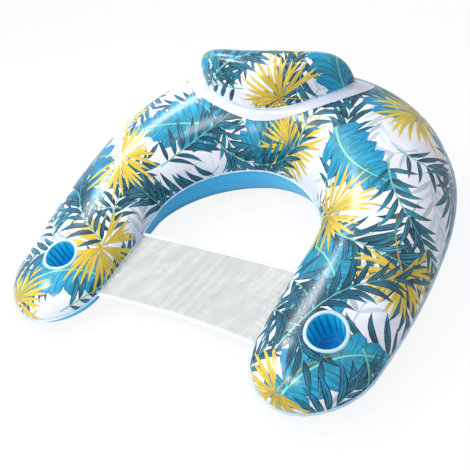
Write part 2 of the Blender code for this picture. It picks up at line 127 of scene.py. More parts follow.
def all_round(count):
    """Angles evenly all round, and their directions in plan."""
    turns = np.linspace(0, math.tau, count, endpoint=False)
    return turns, np.column_stack((np.cos(turns), np.sin(turns)))


def node_points(name):
    return np.array([tuple(v.co) for v in bpy.data.objects[name].data.vertices])


def valve_seat(label):
    """The middle of a valve's flange face and the way that it points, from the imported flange."""
    points = node_points(f"{label}_valve_flange")
    middle = points.mean(0)
    _, sizes, ways = np.linalg.svd(points - middle, full_matrices=False)
    axis = ways[2] if sizes[0] - sizes[1] < sizes[1] - sizes[2] else ways[0]
    axis = axis * math.copysign(1, axis @ middle)
    height = (points - middle) @ axis
    rim = np.linalg.norm(points - middle - np.outer(height, axis), axis=1) > 0.95 * flange_radius
    return middle + axis * height[rim].max(), axis


valve_seats = [valve_seat(label) for label in valves]


def seated(points):
    """The chair's film points, laid flat under each valve's flange."""
    under, margin, fade = -0.0017, 0.002, 0.018
    world = to_world(points)
    for seat, axis in valve_seats:
        height = (world - seat) @ axis
        out = np.linalg.norm(world - seat - np.outer(height, axis), axis=1)
        grip = np.clip(1 - (out - flange_radius - margin) / fade, 0, 1) * (np.abs(height) < 0.03)
        grip = grip * grip * (3 - 2 * grip)
        world += np.outer((np.minimum(height, under) - height) * grip, axis)
    return to_chair(world)


def seam_rise(y):
    return tip_rise * ((back_y - y) / (back_y + arm_length)) ** 2


def back_seam(turn, half_width, depth, power):
    angle = math.pi / 2 * (1 - turn)
    across, along = np.cos(angle), np.sin(angle)
    x = np.sign(across) * np.abs(across) ** (2 / power) * half_width
    return np.stack((x, np.abs(along) ** (2 / power) * depth), -1)


def arm_inner(share):
    """How far from the middle the arm's inner seam lies, by share of the arm's length."""
    pinch = seat_pinch * np.exp(-(((-arm_length * share - seat_middle) / pinch_reach) ** 4))
    return inner_half_width - inner_draw_in * share**2 - pinch


def body_sections(place):
    """Centre, side, half width and height share of the right half's sections.

    The place is 0 at the middle of the back, 1 where the arm starts and 2 at the arm's end.
    """
    place = np.asarray(place, float)
    turn, share = np.clip(place, 0, 1), np.clip(place - 1, 0, 1)
    y = -arm_length * share
    outer = np.stack((outer_half_width - outer_draw_in * share**2, y), -1)
    inner = np.stack((arm_inner(share), y), -1)
    back = (place <= 1)[..., None]
    outer = np.where(back, back_seam(turn, outer_half_width, outer_depth, outer_power), outer)
    inner = np.where(back, back_seam(turn, inner_half_width, inner_depth, inner_power), inner)
    run = np.where(place <= 1, back_run_share * turn, back_run_share + (1 - back_run_share) * share)
    span = outer - inner
    width = np.linalg.norm(span, axis=-1)
    height_share = back_height_share + (tip_height_share - back_height_share) * run
    return (outer + inner) / 2, span / width[..., None], width / 2, height_share


end_centre, end_side, end_half_width, _ = (v[0] for v in body_sections(np.array([2.0])))
end_forward = unit(end_centre - body_sections(np.array([2 - 1 / 9]))[0][0])


def tip_size(ahead):
    """A tip's half width in shares of the arm's end, by share of the tip's length."""
    return np.maximum(1 - ahead**tip_power, 0) ** (1 / tip_power)


def tip_middle(centre, ahead):
    return centre + end_forward * (tip_length * ahead)[:, None]


def dome(share, ahead):
    """Height of the upper film over the seam, in half heights."""
    return np.sqrt(np.maximum(tip_size(ahead) ** 2 - share**2, 0))


# Angle of a point on a section against its share of the half outline from the crest, by height share
height_shares = np.linspace(0.4, 1.2, 33)
angles = np.linspace(0, math.pi / 2, 361)
steps = np.sqrt(np.sin(angles) ** 2 + (height_shares[:, None] * np.cos(angles)) ** 2)
lengths = np.cumsum((steps[:, 1:] + steps[:, :-1]) / 2 * (angles[1] - angles[0]), axis=1)
lengths = np.hstack((np.zeros((len(height_shares), 1)), lengths))
share_grid = np.linspace(0, 1, 401)
angle_table = np.array([np.interp((1 - share_grid) * row[-1], row, angles) for row in lengths])


def outline_scale(height_share):
    """Length of a section's outline from its crest to its seam, in half widths."""
    return np.interp(height_share, height_shares, lengths[:, -1])


def table_value(table, x, y):
    """Bilinear reading of a table at a fractional row and column."""
    x = np.clip(x, 0, table.shape[0] - 1.0001)
    y = np.clip(y, 0, table.shape[1] - 1.0001)
    i, j = x.astype(int), y.astype(int)
    fx, fy = x - i, y - j
    low = table[i, j] * (1 - fy) + table[i, j + 1] * fy
    high = table[i + 1, j] * (1 - fy) + table[i + 1, j + 1] * fy
    return low * (1 - fx) + high * fx


def section_angle(reach, height_share):
    row = (height_share - height_shares[0]) / (height_shares[1] - height_shares[0])
    return table_value(angle_table, row, np.clip(reach, 0, 1) * (len(share_grid) - 1))


places = np.concatenate((np.linspace(0, 1, 400), np.linspace(1, 2, 120)[1:]))
runs = path_runs(body_sections(places)[0])
end_run = runs[-1]
probes = np.concatenate((np.linspace(0, 1, 60), np.linspace(1, 2, 14)[1:]))
probe_centre, probe_side, _, _ = body_sections(probes)


def locate(points):
    """Place and signed share of the half width of plan points on the right half's body."""
    batch, nowhere = 20000, 9.0
    place = np.empty(len(points))
    for start in range(0, len(points), batch):
        q = points[start : start + batch]
        gap = q[:, None] - probe_centre
        offset, reach = cross(gap, probe_side), (gap * probe_side).sum(-1)
        cost = np.where(offset[:, :-1] * offset[:, 1:] <= 0, np.abs(reach[:, :-1]), nowhere)
        k = cost.argmin(1)
        rows = np.arange(len(q))
        k = np.where(cost[rows, k] >= nowhere, np.where(q[:, 1] > 0, 0, len(probes) - 2), k)
        a, b = offset[rows, k], offset[rows, k + 1]
        t = np.clip(a / np.where(np.abs(a - b) < 1e-12, 1, a - b), 0, 1)
        place[start : start + batch] = probes[k] + (probes[k + 1] - probes[k]) * t
    before = np.clip(place - 0.004, 0, 2)
    for _ in range(3):
        here, there = (cross(points - c, s) for c, s, _, _ in (body_sections(place), body_sections(before)))
        still = np.abs(here - there) < 1e-13
        step = np.where(still, 0, here * (place - before) / np.where(still, 1, here - there))
        before, place = place, np.clip(place - np.clip(step, -0.03, 0.03), 0, 2)
    centre, side, half_width, _ = body_sections(place)
    return place, ((points - centre) * side).sum(1) / half_width


def lie(plan):
    """Place, share of the half width and share of the tip's length of plan points, taken to the right half."""
    half = np.column_stack((np.abs(plan[:, 0]), plan[:, 1]))
    beyond = (half[:, 1] - end_centre[1]) / end_forward[1]
    place, share = locate(half)
    tip = beyond > 0
    share = np.where(tip, (half[:, 0] - end_centre[0] - end_forward[0] * beyond) / end_half_width, share)
    return np.where(tip, 2.0, place), share, np.where(tip, beyond / tip_length, 0.0)


def from_crest(share, ahead):
    """How far out a point lies: 0 on the crest and 1 on the seam."""
    rounded = (np.abs(ahead) ** tip_power + np.abs(share) ** tip_power) ** (1 / tip_power)
    return np.where(ahead > 0, rounded, np.abs(share))


def sign_of(plan):
    return np.where(plan[:, 0] < 0, -1.0, 1.0)


def stations(sheet):
    """Signed places of sheet points along the whole ring, from -3 at the left tip's end to 3 at the right one's."""
    place, _, ahead = lie(sheet)
    return sign_of(sheet) * (place + ahead)


def puckers(run, reach, inner, bend):
    """Depth of the small folds that gather a film along its weld seams."""
    phase = run * 2 * math.pi / fold_spacing + 2.4 * np.sin(run * 15 + 1) + 1.6 * np.sin(run * 41)
    fold = (0.5 + 0.5 * np.sin(phase)) ** 1.6 * (0.62 + 0.38 * np.sin(run * 29 + 2))
    depth = np.where(inner, 0.0016 * bend + 0.0007, 0.0010 * bend + 0.0004)
    from_edge = (1 - reach) / np.where(inner, 0.085, 0.06)
    wide = 0.0007 * np.sin(run * 11 + reach * 5) * np.sin(reach * 7 + run * 6) * (1 - reach**2)
    return -depth * fold * from_edge * np.exp(1 - from_edge) + wide


def on_top(sheet):
    """Points of the upper film over places on the flat print sheet, whose outline is the seam's in plan."""
    sign = sign_of(sheet)
    place, share, ahead = lie(sheet)
    centre, side, half_width, height_share = body_sections(place)
    reach = np.clip(from_crest(share, ahead), 1e-6, None)
    share, ahead = share / np.maximum(reach, 1), ahead / np.maximum(reach, 1)
    reach = np.minimum(reach, 1)
    grow = np.cos(section_angle(reach, height_share)) / reach
    share, ahead = share * grow, ahead * grow
    high = dome(share, ahead)
    middle = tip_middle(centre, ahead)
    plan = middle + side * (half_width * share)[:, None]
    half_height = half_width * height_share
    z = seam_rise(middle[:, 1]) + weld_lift + half_height * high
    flat = side * (share / half_width)[:, None] + end_forward * (ahead / tip_length)[:, None]
    outward = unit(np.column_stack((flat, high / half_height)))
    around = np.arctan2(ahead, np.abs(share) + 1e-9)
    run = sign * (np.interp(place, places, runs) + 0.17 * around)
    bend = np.clip(1.35 - place, 0, 1) + np.clip(around, 0, 1)
    fold = puckers(run, reach, share < 0, np.clip(bend, 0.1, 1))
    points = np.column_stack((plan, z)) + outward * fold[:, None]
    points[:, 0] *= sign
    return points


def chamber_height(plan):
    """Height of the smooth upper film over places in plan."""
    place, share, ahead = lie(plan)
    centre, _, half_width, height_share = body_sections(place)
    y = tip_middle(centre, ahead)[:, 1]
    return seam_rise(y) + weld_lift + half_width * height_share * dome(share, ahead)


# How much closer the print sheet lies along the tips than the metres along their crests
tip_squeeze = 1.2


def sheet_point(run, across):
    """A place on the print sheet from metres along the crest and metres out over the film."""
    place = np.interp(abs(run), runs, places)
    centre, side, _, height_share = (v[0] for v in body_sections(np.array([place])))
    over = max(abs(run) - end_run, 0)
    point = centre + end_forward * over / tip_squeeze + side * across / outline_scale(height_share)
    return np.array((math.copysign(1, run) * point[0], point[1]))


def sheet_axes(run):
    """The print sheet's steps for a metre along the crest, away from the left tip, and a metre out."""
    place = min(np.interp(abs(run), runs, places), 1.98)
    centre, side, _, height_share = body_sections(np.array([place, place + 0.02]))
    along = unit(centre[1] - centre[0])
    across = side[0] / outline_scale(height_share[0])
    if abs(run) > end_run:
        along = along / tip_squeeze
    sign = math.copysign(1, run)
    return np.array(((along[0], sign * along[1]), (sign * across[0], across[1])))


# Colours of the print
def linear(red, green, blue):
    shares = np.array((red, green, blue)) / 255
    return np.where(shares <= 0.04045, shares / 12.92, ((shares + 0.055) / 1.055) ** 2.4)


paper, ghost = linear(236, 238, 250), linear(200, 216, 230)
navy, teal, deep_teal = linear(0, 8, 22), linear(12, 148, 182), linear(0, 88, 120)
sky, cyan, mint = linear(8, 150, 202), linear(50, 180, 214), linear(128, 212, 184)
lemon, gold, olive = linear(242, 218, 88), linear(222, 190, 54), linear(112, 98, 26)


class Blade:
    """One pointed blade of a leaf: its spine, its half widths and its colours, in the leaf's own metres."""

    def __init__(self, spine, widths, colours, stroke, strokes):
        self.spine, self.widths = spine, widths
        self.colours, self.stroke, self.strokes = colours, stroke, strokes
        self.tag = chance.random() * 50
        normal = unit(np.gradient(spine, axis=0))[:, ::-1] * mirror
        left, right = (spine + side * normal * widths[:, None] for side in (1, -1))
        keep = widths > 0.00015
        ends = [spine[:1]] * (not keep[0]), [spine[-1:]] * (not keep[-1])
        self.outline = np.vstack((*ends[0], left[keep], *ends[1], right[keep][::-1]))

    def coordinates(self, points):
        """Share along the spine, and share of the half width to either side."""
        start, step = self.spine[:-1], np.diff(self.spine, axis=0)
        size = (step**2).sum(1)
        offset = points[:, None] - start
        t = np.clip((offset * step).sum(2) / size, 0, 1)
        gap = offset - step * t[..., None]
        k = (gap**2).sum(2).argmin(1)
        rows = np.arange(len(points))
        t = t[rows, k]
        width = self.widths[k] * (1 - t) + self.widths[k + 1] * t
        beside = cross(step[k], gap[rows, k]) / np.sqrt(size[k])
        return (k + t) / len(step), np.clip(beside / np.maximum(width, 2e-4), -1, 1)


def curved_spine(root, tip, bend, count):
    root, tip = np.asarray(root, float), np.asarray(tip, float)
    along = np.linspace(0, 1, count)[:, None]
    step = tip - root
    return root + step * along + step[::-1] * mirror * (bend * 4 * along * (1 - along))


def direction(angle):
    return np.array((math.cos(angle), math.sin(angle)))


def turned(way, angle):
    cosine, sine = direction(angle)
    return np.array((way[0] * cosine - way[1] * sine, way[0] * sine + way[1] * cosine))


def tinted(colours, amount):
    return [np.clip(colour * (1 + amount), 0, 1) for colour in colours]


def pointed(widths):
    """Half widths that end in a point."""
    widths[-1] = 0
    return widths


def midrib(length, pairs, least, most):
    """A leaf's bent midrib with two points for each pair of leaflets, and the way ahead at each."""
    bend = chance.choice((-1, 1)) * chance.uniform(least, most)
    rib = curved_spine((-length / 2, 0), (length / 2, 0), bend, 2 * pairs + 3)
    return rib, unit(np.gradient(rib, axis=0))


def fan_leaf(radius, opening):
    """A yellow fan of long pointed blades from one point, on a bare stem."""
    count = int(35 * opening / math.tau)
    facing = chance.uniform(0, math.tau)
    step = opening / count
    stem = curved_spine(direction(facing) * 0.004, direction(facing) * radius * 1.3, 0.06, 5)
    blades = [Blade(stem, np.full(5, 0.0016), (gold, olive), olive, 0.3)]
    shares = np.linspace(0, 1, 8)
    for i in range(count):
        angle = facing + math.pi + (i - (count - 1) / 2) * step + chance.uniform(-0.18, 0.18) * step
        length = radius * chance.uniform(0.80, 1.10)
        spine = curved_spine((0, 0), direction(angle) * length, chance.uniform(-0.07, 0.07), 8)
        widths = np.minimum(shares * length * math.tan(step * 0.52) + 0.0004, radius * 0.048)
        widths = pointed(widths * (1 - shares**3.4) ** 0.8)
        blades.append(Blade(spine, widths, tinted((gold, lemon), chance.uniform(-0.10, 0.12)), olive, 0.6))
    return blades


def feather_leaf(length, colours, pairs, reach, strokes):
    """A frond of long pointed leaflets on both sides of a bent midrib."""
    rib, ahead = midrib(length, pairs, 0.08, 0.16)
    along = np.linspace(0, 1, 6)
    leaflets = []
    for k in range(2, 2 * pairs + 1, 2):
        share = k / (len(rib) - 1)
        size = reach * (0.55 + 1.15 * share * (1.25 - share)) * (1 - 0.38 * share)
        for side in (-1, 1):
            lean = side * (math.radians(60 - 32 * share) + chance.uniform(-0.12, 0.12))
            span = size * chance.uniform(0.84, 1.12)
            tip = rib[k] + turned(ahead[k], lean) * span
            spine = curved_spine(rib[k], tip, -side * chance.uniform(0.04, 0.15), 6)
            widths = pointed(span * 0.086 * np.sin(np.pi * along**0.75) ** 0.85 + 0.0003)
            tone = chance.uniform(-0.25, 0.25)
            shades = colours if chance.random() < 0.7 else colours[::-1]
            leaflets.append(Blade(spine, widths, tinted(shades, tone), navy, strokes))
    end = curved_spine(rib[-1], rib[-1] + ahead[-1] * reach * 0.6, 0.03, 6)
    widths = pointed(reach * 0.055 * np.sin(np.pi * along**0.8))
    leaflets.append(Blade(end, widths, colours, navy, strokes))
    chance.shuffle(leaflets)
    shades = colours if strokes < 0.9 else (mint, teal)
    return leaflets + [Blade(rib, np.linspace(0.0022, 0.0008, len(rib)), shades, navy, 0.2)]


def broad_leaf(length, colours, lobes, half_width):
    """A wide leaf cut into blunt fingers, with a pale midrib."""
    rib, ahead = midrib(length, lobes, 0.05, 0.13)
    body = half_width * 0.3 * np.sin(np.pi * np.linspace(0.08, 0.97, len(rib))) ** 0.7
    blades = [Blade(rib, body, colours, navy, 0.2)]
    along = np.linspace(0, 1, 7)
    blunt = np.sqrt(np.clip(1 - along**3.2, 0, 1)) * (0.92 + 0.25 * along)
    for k in range(1, 2 * lobes, 2):
        share = k / (len(rib) - 1)
        size = half_width * (math.sin(math.pi * min(share + 0.12, 1) ** 0.9) ** 0.6 + 0.12)
        lean = math.radians(74 - 30 * share)
        for side in (-1, 1):
            turn = side * (lean + chance.uniform(-0.05, 0.05))
            span = size * chance.uniform(0.92, 1.08)
            spine = curved_spine(rib[k], rib[k] + turned(ahead[k], turn) * span, -side * 0.10, 7)
            widths = pointed(length / lobes * 0.46 * blunt)
            blades.append(Blade(spine, widths, tinted(colours, chance.uniform(-0.12, 0.12)), navy, 0.55))
    end = curved_spine(rib[-3], rib[-1] + ahead[-1] * half_width * 0.35, 0.02, 7)
    widths = pointed(half_width * 0.26 * np.sin(np.pi * (0.25 + 0.75 * along)))
    blades.append(Blade(end, widths, colours, navy, 0.55))
    blades.append(Blade(rib, np.linspace(0.0034, 0.0010, len(rib)), (mint, mint), teal, 0.1))
    return blades


def seeded_leaf(kind):
    """A leaf of one kind, of a size and colours drawn by chance."""
    if kind == "ghost":
        return feather_leaf(chance.uniform(0.24, 0.30), (ghost, ghost), 8, 0.10, 0.12)
    if kind == "dark":
        return feather_leaf(chance.uniform(0.30, 0.36), (deep_teal, teal), 10, chance.uniform(0.11, 0.14), 1.0)
    if kind == "feather":
        colours = chance.choice(((deep_teal, cyan), (teal, cyan), (teal, sky)))
        return feather_leaf(chance.uniform(0.30, 0.37), colours, 10, chance.uniform(0.11, 0.14), 1.0)
    if kind == "broad":
        colours = chance.choice(((cyan, sky), (cyan, sky), (sky, sky)))
        return broad_leaf(chance.uniform(0.28, 0.34), colours, 6, chance.uniform(0.076, 0.090))
    return fan_leaf(chance.uniform(0.122, 0.150), chance.choice((4.2, 4.8, 5.4, math.tau)))


def laid(blades, origin, axes, facing):
    """A leaf's blades, each with the leaf's place on the print sheet and its axes there."""
    ahead = direction(facing)
    matrix = np.array((ahead, ahead[::-1] * mirror)) @ axes
    return [(blade, origin, matrix) for blade in blades]


def anticlockwise(loop):
    return loop if cross(loop, np.roll(loop, -1, 0)).sum() > 0 else loop[::-1]


def cut_tile(boundary, holes, blades, grid):
    """Triangles of one tile of a print sheet, cut along the blades' outlines, each with its topmost blade.

    The blades are triples of number, outline and spine on the sheet, from the bottom one to the top one.
    """
    points, loops, edges, count = [], [], [], 0
    for loop in (boundary, *holes, *(outline for _, outline, _ in blades)):
        points.append(anticlockwise(loop))
        loops.append(list(range(count, count + len(loop))))
        count += len(loop)
    for _, _, spine in blades:
        points.append(spine)
        edges += [(count + i, count + i + 1) for i in range(len(spine) - 1)]
        count += len(spine)
    flat = np.vstack((*points, grid))
    made = delaunay_2d_cdt([Vector(p) for p in flat.tolist()], edges, loops, 1, 1e-7, True)
    first_blade = 1 + len(holes)
    faces, owners = [], []
    for face, sources in zip(made[2], made[5]):
        if 0 in sources and not any(hole in sources for hole in range(1, first_blade)):
            top = max(sources) - first_blade
            faces.append(face)
            owners.append(blades[top][0] if top >= 0 else -1)
    return np.array([tuple(v) for v in made[0]]), np.array(faces), np.array(owners)


def printed_piece(name, surface, tiles, art, spacing, station, holes=()):
    """A fine mesh of a print sheet, cut along every blade's outline, and lifted onto its surface.

    Each tile is a first station, a last station and its outline; station gives sheet points their station.
    """
    same_place = 4e-6
    items = []
    for i, (blade, origin, matrix) in enumerate(art):
        spine = blade.spine[1:-1] if len(blade.spine) > 4 and blade.strokes > 0.25 else blade.spine[:0]
        items.append((i, origin + blade.outline @ matrix, origin + spine @ matrix))
    outlines = [outline for _, outline, _ in items]
    ends = np.cumsum([len(outline) for outline in outlines])[:-1]
    spans = [(reach.min(), reach.max()) for reach in np.split(station(np.vstack(outlines)), ends)]
    hole_spans = [(reach.min(), reach.max()) for reach in map(station, holes)]
    corners = np.vstack([outline for *_, outline in tiles])
    low, high = corners.min(0), corners.max(0)
    columns, rows = np.arange(low[0], high[0], spacing), np.arange(low[1], high[1], spacing * 0.866)
    grid = np.array([(x + spacing / 2 * (j % 2), y) for j, y in enumerate(rows) for x in columns])
    reach = station(grid)
    parts, count = [], 0
    for first, last, outline in tiles:
        near = [item for item, (a, b) in zip(items, spans) if a <= last and b >= first]
        cuts = [hole for hole, (a, b) in zip(holes, hole_spans) if a < last and b > first]
        dots = grid[(reach > first) & (reach < last)]
        inside = (dots > outline.min(0) - spacing) & (dots < outline.max(0) + spacing)
        verts, faces, owners = cut_tile(outline, cuts, near, dots[inside.all(1)])
        parts.append((verts, faces + count, owners))
        count += len(verts)
    verts, faces, owners = (np.concatenate(part) for part in zip(*parts))
    _, first_seen, numbered = np.unique(
        np.round(verts / same_place), axis=0, return_index=True, return_inverse=True
    )
    used, numbered = np.unique(numbered.reshape(-1)[faces], return_inverse=True)
    verts, faces = verts[first_seen[used]], numbered.reshape(faces.shape)
    a, b, c = faces.T
    whole = (a != b) & (b != c) & (c != a)
    return lifted_piece(name, surface, verts, faces[whole], owners[whole], art)


def lifted_piece(name, surface, verts, faces, owners, art):
    """Lifts the flat mesh onto its surface and gives each face's corners their blade's colours and lines."""
    nudge = 0.0008
    east, north = (surface(verts + step) - surface(verts - step) for step in np.eye(2) * nudge)
    normals = unit(np.cross(east, north))
    corners = faces.reshape(-1)
    owner = np.repeat(owners, 3)
    colours = np.tile(np.append(paper, 1), (len(corners), 1))
    strokes = np.tile(np.append(navy, 0), (len(corners), 1))
    lines = np.zeros((len(corners), 3))
    order = np.argsort(owner, kind="stable")
    bounds = np.searchsorted(owner[order], np.arange(len(art) + 1))
    for i, (blade, origin, matrix) in enumerate(art):
        mine = order[bounds[i] : bounds[i + 1]]
        if not len(mine):
            continue
        along, beside = blade.coordinates((verts[corners[mine]] - origin) @ np.linalg.inv(matrix))
        first, last = blade.colours
        colours[mine, :3] = first + (last - first) * along[:, None]
        strokes[mine] = (*blade.stroke, blade.strokes)
        lines[mine] = np.column_stack((along, beside, np.full(len(mine), blade.tag)))
    made = smooth_piece(name, surface(verts), faces.tolist(), ink_film)
    mesh = made.data
    for label, values in (("print", colours), ("stroke", strokes)):
        layer = mesh.color_attributes.new(label, "FLOAT_COLOR", "CORNER")
        layer.data.foreach_set("color", values.astype(np.float32).ravel())
    layer = mesh.attributes.new("blade", "FLOAT_VECTOR", "CORNER")
    layer.data.foreach_set("vector", lines.astype(np.float32).ravel())
    mesh.normals_split_custom_set_from_vertices((normals @ tipping.T).tolist())
    mesh.color_attributes.active_color = mesh.color_attributes["print"]
    return made


def new_object(name, data):
    made = bpy.data.objects.new(name, data)
    bpy.context.scene.collection.objects.link(made)
    return made


def smooth_piece(name, points, faces, coating, uv=None, body="root"):
    """A smooth-shaded piece from points in the chair's own frame."""
    mesh = bpy.data.meshes.new(name)
    mesh.from_pydata(to_world(points).tolist(), [], faces)
    mesh.polygons.foreach_set("use_smooth", np.ones(len(mesh.polygons), bool))
    if uv is not None:
        layer = mesh.uv_layers.new(name="metres")
        corners = np.empty(len(mesh.loops), int)
        mesh.loops.foreach_get("vertex_index", corners)
        layer.data.foreach_set("uv", uv[corners].astype(np.float32).ravel())
    mesh.update()
    mesh.materials.append(coating)
    made = new_object(name, mesh)
    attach(made, body)
    return made


def grid_faces(rows, columns, closed=False, flip=False):
    """Quads over a grid of points numbered row by row; closed joins its last column to its first."""
    faces = []
    for i in range(rows - 1):
        for j in range(columns if closed else columns - 1):
            k = (j + 1) % columns
            face = (i * columns + j, i * columns + k, (i + 1) * columns + k, (i + 1) * columns + j)
            faces.append(face[::-1] if flip else face)
    return faces


def band(name, loops, coating, flip=True, uv=None):
    """A smooth band through closed loops of points; flip where it would show its inside."""
    return smooth_piece(name, np.vstack(loops), grid_faces(len(loops), len(loops[0]), True, flip), coating, uv)


def stand_for(piece, node):
    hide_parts(node)


# Materials
class Nodes:
    """Short calls for building the nodes of a new material, or of the world."""

    def __init__(self, name, world=None):
        self.owner = world or bpy.data.materials.new(name)
        self.owner.use_nodes = True
        self.tree = self.owner.node_tree
        self.shader = self.tree.nodes["Background" if world else "Principled BSDF"]

    def feed(self, socket, value):
        """Sets a socket to a number, colour or vector, or links it to another socket."""
        if isinstance(value, bpy.types.NodeSocket):
            self.tree.links.new(value, socket)
        elif isinstance(value, (tuple, np.ndarray)):
            socket.default_value = [*(float(v) for v in value), 1.0][: len(socket.default_value)]
        else:
            socket.default_value = value

    def add(self, kind, inputs=(), **settings):
        made = self.tree.nodes.new(f"ShaderNode{kind}")
        for key, value in settings.items():
            setattr(made, key, value)
        for key, value in dict(inputs).items():
            self.feed(made.inputs[key], value)
        return made

    def maths(self, operation, *values, clamp=False):
        return self.add("Math", enumerate(values), operation=operation, use_clamp=clamp).outputs[0]

    def most(self, *values):
        """The largest of several numbers."""
        first, *others = values
        for other in others:
            first = self.maths("MAXIMUM", first, other)
        return first

    def mix(self, factor, first, second):
        return self.add("Mix", {0: factor, 6: first, 7: second}, data_type="RGBA").outputs[2]

    def noise(self, vector, scale, detail=2, roughness=0.5):
        inputs = {"Vector": vector, "Scale": scale, "Detail": detail, "Roughness": roughness}
        return self.add("TexNoise", inputs).outputs[0]

    def span(self, value, low, high, start=0, end=1):
        inputs = {"Value": value, "From Min": low, "From Max": high, "To Min": start, "To Max": end}
        return self.add("MapRange", inputs, interpolation_type="SMOOTHSTEP").outputs[0]

    def colour(self, value):
        self.feed(self.shader.inputs["Base Color"], value)

    def bump(self, height, distance, strength):
        made = self.add("Bump", {"Height": height, "Distance": distance, "Strength": strength})
        self.feed(self.shader.inputs["Normal"], made.outputs[0])

    def position(self):
        return self.add("TexCoord").outputs["Object"]

    def tone(self, scale, detail=3):
        """A slow change from 0 to 1 and back over the piece."""
        return self.span(self.noise(self.position(), scale, detail), 0.3, 0.7)

    def metres(self):
        """The piece's map, and its two numbers."""
        uv = self.add("UVMap", uv_map="metres").outputs[0]
        return uv, self.split(uv)[:2]

    def split(self, vector):
        return self.add("SeparateXYZ", {0: vector}).outputs

    def threads(self, socket, spacing):
        return self.maths("SINE", self.maths("MULTIPLY", socket, 2 * math.pi / spacing))

    def settle(self, roughness, coat=0.0, coat_roughness=0.05, sheen=0.0, specular=0.5):
        values = {"Roughness": roughness, "Specular IOR Level": specular, "Metallic": 0, "Sheen Weight": sheen}
        values |= {"Coat Weight": coat, "Coat Roughness": coat_roughness}
        for key, value in values.items():
            self.shader.inputs[key].default_value = value
        return self.owner


def printed_film():
    """Ink on glossy film: each blade's own colour with inked strokes along it and a dark outline."""
    m = Nodes("printed_film")
    base, stroke, blade = (m.add("Attribute", attribute_name=name).outputs for name in ("print", "stroke", "blade"))
    along, beside, tag = m.split(blade["Vector"])
    stretched = m.add("CombineXYZ", {0: m.maths("MULTIPLY", along, 1.5), 1: m.maths("MULTIPLY", beside, 3.2), 2: tag})
    streaks = m.span(m.noise(stretched.outputs[0], 1.6, 2, 0.55), 0.51, 0.60)
    side = m.maths("ABSOLUTE", beside)
    finer = m.maths("MULTIPLY_ADD", stroke["Alpha"], 0.35, -0.35)
    edge = m.span(m.maths("ADD", side, finer), 0.60, 0.76)
    rib = m.maths("MULTIPLY", m.span(side, 0.05, 0.16, 1, 0), 0.8)
    root = m.span(along, 0.0, 0.45, 0.75, 0)
    half = m.span(beside, 0.04, 0.22, 0, 0.28)
    ink = m.most(m.maths("MULTIPLY", streaks, 0.85), edge, rib, root, half)
    ink = m.maths("MULTIPLY", ink, stroke["Alpha"], clamp=True)
    cloudy = m.span(m.noise(m.position(), 14, 3), 0.35, 0.7, 0.90, 1.06)
    tone = m.add("VectorMath", {0: base["Color"], "Scale": cloudy}, operation="SCALE")
    m.colour(m.mix(ink, tone.outputs[0], stroke["Color"]))
    m.bump(m.noise(m.position(), 260, 2), 0.00025, 0.25)
    return m.settle(0.40, 0.6, 0.20, specular=0.1)


def plain_film(name, colour, second, scale=5, roughness=0.3, coat=0.6, painted_crease_shading=None):
    """Glossy film with a slow change of tone and a faint grain.

    With a crease colour it has painted shade between its pleats; its map's first number tells how far out of them.
    """
    m = Nodes(name)
    film = m.mix(m.tone(scale), colour, second)
    if painted_crease_shading is not None:
        # Painted shade: the crease colour in the pleats' creases, where the map's first number is low.
        _, (clear, _) = m.metres()
        film = m.mix(m.span(clear, 0.30, 0.85), painted_crease_shading, film)
    m.colour(film)
    m.bump(m.noise(m.position(), 300, 2), 0.0003, 0.25)
    return m.settle(roughness, coat, 0.12, specular=0.15)


def net_cloth():
    """Fine net with slanting creases: threads both ways with gaps between them, painted shade in bands along the
    creases and painted highlights on crease lines.
    """
    m = Nodes("net_cloth")
    uv, both = m.metres()
    threads = m.most(*(m.span(m.threads(socket, thread_spacing), -0.5, 0.4) for socket in both))
    slanted = m.add(
        "Mapping",
        {"Vector": uv, "Rotation": (0, 0, math.radians(66)), "Scale": (1 / 8, 1 / 26, 1)},
        vector_type="TEXTURE",
    ).outputs[0]
    # Painted shade: the grey is darker and lighter in long bands that slant with the creases.
    tone = m.span(m.noise(slanted, 1, 3, 0.55), 0.42, 0.70)
    # Painted highlights: paler thin lines along the creases, in patches.
    line = m.maths("ABSOLUTE", m.maths("SUBTRACT", m.noise(slanted, 0.9, 2, 0.6), 0.5))
    patches = m.span(m.noise(uv, 17, 2), 0.46, 0.60)
    painted_crease_shading = m.maths("MULTIPLY", m.maths("MULTIPLY", m.span(line, 0.0, 0.030, 1, 0), patches), 0.5)
    m.colour(m.mix(painted_crease_shading, m.mix(tone, linear(182, 186, 186), linear(197, 200, 199)), linear(212, 215, 214)))
    m.feed(m.shader.inputs["Alpha"], m.maths("MULTIPLY_ADD", threads, 0.35, 0.65))
    m.bump(threads, 0.0004, 0.4)
    return m.settle(0.5, 0.0, 0.1, 0.1)


def woven_tape():
    m = Nodes("tape_cloth")
    _, (along, _) = m.metres()
    m.colour(m.mix(m.tone(60, 2), linear(232, 233, 243), linear(243, 243, 250)))
    m.bump(m.threads(along, rib_spacing), 0.0003, 0.4)
    return m.settle(0.6, 0.0, 0.1, 0.2)


ink_film = printed_film()
under_film = plain_film("pale_blue_film", linear(40, 178, 232), linear(66, 194, 240), 3)
margin_film = plain_film("white_film", linear(204, 209, 228), linear(219, 223, 238), 6)
weld_film = plain_film("ring_film", linear(176, 210, 236), linear(204, 227, 244), 20)
# Painted light and shade: the liner's blues are lighter than its own film, for light coming through the chamber, and
# the crease colour is painted shade in its pleats and on the cup's floor.
liner_film = plain_film(
    "deep_blue_film", linear(28, 196, 238), linear(64, 222, 248), 16, painted_crease_shading=linear(10, 146, 212)
)
valve_plastic = plain_film("clear_plastic", linear(206, 218, 226), linear(222, 231, 237), 60, 0.25, 0.5)
cloth = net_cloth()
tape = woven_tape()


# Main chamber
def body_seams(place):
    """The outer and the inner seam's points in plan at places of the right half."""
    centre, side, half_width, _ = body_sections(place)
    out = side * half_width[:, None]
    return centre + out, centre - out


